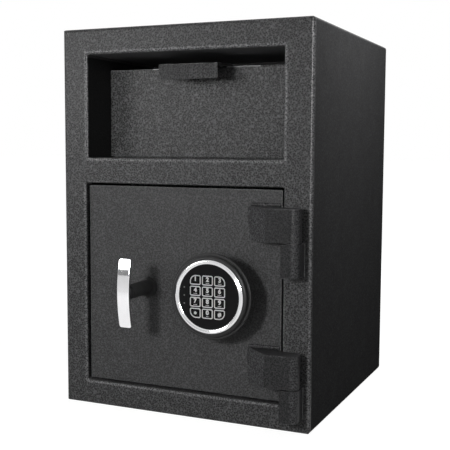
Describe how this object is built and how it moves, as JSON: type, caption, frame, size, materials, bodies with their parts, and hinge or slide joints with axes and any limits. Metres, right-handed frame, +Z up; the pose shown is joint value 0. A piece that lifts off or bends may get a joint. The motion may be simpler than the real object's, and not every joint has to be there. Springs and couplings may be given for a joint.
{
  "type": "deposit safe",
  "caption": "Front-loading deposit safe: steel cabinet, swinging hopper with pull tab in a top recess, hinged door with bow handle, round keypad and sliding bolts.",
  "frame": {"origin": "centre of the footprint, on the surface that the safe stands on", "axes": "+Z up, along the height; -Y towards the person in front of the door; +X to that person's right, the hinge side"},
  "size_m": [0.356, 0.417, 0.51],
  "materials": {
    "cabinet_paint": "fine textured powder coat",
    "door_paint": "fine textured powder coat",
    "inner_paint": "matt paint",
    "zinc_plate": "zinc plated",
    "chrome": "bright chrome",
    "polished_steel": "ground steel",
    "black_plastic": "satin moulded",
    "gloss_face": "gloss",
    "key_plastic": "gloss with white printing",
    "lamp_lens": "clear lens, unlit",
    "rubber": "matt",
    "carpet": "short pile",
    "board_green": "lacquered board",
    "grey_plastic": "satin",
    "battery_sleeve": "printed sleeve, plain",
    "copper_wire": "enamelled wire",
    "red_plastic": "gloss"
  },
  "bodies": {
    "cabinet": {"cabinet_wrap": "cabinet_paint", "front_frame": "cabinet_paint", "back_panel": "cabinet_paint", "recess_liner": "cabinet_paint", "anti_fishing_baffle": "inner_paint", "hopper_stop_buffers": "rubber", "hopper_rest_bar": "zinc_plate", "trunnion_bearings": "zinc_plate", "door_stops": "cabinet_paint", "body_hinge_knuckles": "cabinet_paint", "hinge_pins": "zinc_plate", "hinge_washers": "zinc_plate", "floor_mat": "carpet"},
    "hopper": {"hopper_panel": "cabinet_paint", "hopper_pull_tab": "cabinet_paint", "tab_rivets": "zinc_plate", "hopper_tray": "cabinet_paint", "hopper_cheeks": "cabinet_paint", "hopper_trunnions": "zinc_plate"},
    "door": {"door_plate": "door_paint", "door_hinge_leaves": "door_paint", "dead_bar": "zinc_plate", "bolt_guide": "zinc_plate", "carriage_studs": "zinc_plate", "bolt_cover": "inner_paint", "cover_screws": "zinc_plate", "control_board": "board_green", "cable_grommet": "rubber", "keypad_cable": "rubber", "battery_box": "black_plastic", "batteries": "battery_sleeve", "battery_lid": "black_plastic", "solenoid_frame": "zinc_plate", "solenoid_coil": "copper_wire", "keypad_base": "black_plastic", "keypad_housing": "black_plastic", "keypad_ring": "chrome", "keypad_face": "gloss_face", "keypad_lamps": "lamp_lens", "key_board": "grey_plastic"},
    "handle": {"handle_bow": "chrome", "handle_neck": "black_plastic", "handle_spindle": "zinc_plate", "spindle_cam": "zinc_plate"},
    "bolt_work": {"bolt_carriage": "zinc_plate", "live_bolts": "polished_steel"},
    "plunger": {"solenoid_plunger": "polished_steel"},
    "reset": {"reset_button": "red_plastic"},
    "key_1": {"key_1": "key_plastic"},
    "key_2": {"key_2": "key_plastic"},
    "key_3": {"key_3": "key_plastic"},
    "key_4": {"key_4": "key_plastic"},
    "key_5": {"key_5": "key_plastic"},
    "key_6": {"key_6": "key_plastic"},
    "key_7": {"key_7": "key_plastic"},
    "key_8": {"key_8": "key_plastic"},
    "key_9": {"key_9": "key_plastic"},
    "key_star": {"key_star": "key_plastic"},
    "key_0": {"key_0": "key_plastic"},
    "key_hash": {"key_hash": "key_plastic"}
  },
  "joints": [
    {"name": "door_swing", "type": "hinge", "parent": "cabinet", "child": "door", "pos_m": [0.157, -0.191, 0.17], "axis": [0, 0, 1], "range_deg": [0, 170]},
    {"name": "hopper_swing", "type": "hinge", "parent": "cabinet", "child": "hopper", "pos_m": [0, -0.111, 0.346], "axis": [1, 0, 0], "range_deg": [0, 50]},
    {"name": "handle_turn", "type": "hinge", "parent": "door", "child": "handle", "pos_m": [-0.0505, -0.178, 0.169], "axis": [0, -1, 0], "range_deg": [0, 90]},
    {"name": "bolt_throw", "type": "slide", "parent": "door", "child": "bolt_work", "axis": [-1, 0, 0], "range_m": [0, 0.018]},
    {"name": "plunger_slide", "type": "slide", "parent": "door", "child": "plunger", "axis": [0, 0, 1], "range_m": [0, 0.005]},
    {"name": "reset_press", "type": "slide", "parent": "door", "child": "reset", "axis": [0, -1, 0], "range_m": [0, 0.0015], "stiffness_N_per_m": 400},
    {"name": "key_1_press", "type": "slide", "parent": "door", "child": "key_1", "axis": [0, 1, 0], "range_m": [0, 0.0008], "stiffness_N_per_m": 800},
    {"name": "key_2_press", "type": "slide", "parent": "door", "child": "key_2", "axis": [0, 1, 0], "range_m": [0, 0.0008], "stiffness_N_per_m": 800},
    {"name": "key_3_press", "type": "slide", "parent": "door", "child": "key_3", "axis": [0, 1, 0], "range_m": [0, 0.0008], "stiffness_N_per_m": 800},
    {"name": "key_4_press", "type": "slide", "parent": "door", "child": "key_4", "axis": [0, 1, 0], "range_m": [0, 0.0008], "stiffness_N_per_m": 800},
    {"name": "key_5_press", "type": "slide", "parent": "door", "child": "key_5", "axis": [0, 1, 0], "range_m": [0, 0.0008], "stiffness_N_per_m": 800},
    {"name": "key_6_press", "type": "slide", "parent": "door", "child": "key_6", "axis": [0, 1, 0], "range_m": [0, 0.0008], "stiffness_N_per_m": 800},
    {"name": "key_7_press", "type": "slide", "parent": "door", "child": "key_7", "axis": [0, 1, 0], "range_m": [0, 0.0008], "stiffness_N_per_m": 800},
    {"name": "key_8_press", "type": "slide", "parent": "door", "child": "key_8", "axis": [0, 1, 0], "range_m": [0, 0.0008], "stiffness_N_per_m": 800},
    {"name": "key_9_press", "type": "slide", "parent": "door", "child": "key_9", "axis": [0, 1, 0], "range_m": [0, 0.0008], "stiffness_N_per_m": 800},
    {"name": "key_star_press", "type": "slide", "parent": "door", "child": "key_star", "axis": [0, 1, 0], "range_m": [0, 0.0008], "stiffness_N_per_m": 800},
    {"name": "key_0_press", "type": "slide", "parent": "door", "child": "key_0", "axis": [0, 1, 0], "range_m": [0, 0.0008], "stiffness_N_per_m": 800},
    {"name": "key_hash_press", "type": "slide", "parent": "door", "child": "key_hash", "axis": [0, 1, 0], "range_m": [0, 0.0008], "stiffness_N_per_m": 800}
  ],
  "couplings": [
    {"joint": "handle_turn", "follows": "bolt_throw", "rad_per_m": 87.266}
  ]
}
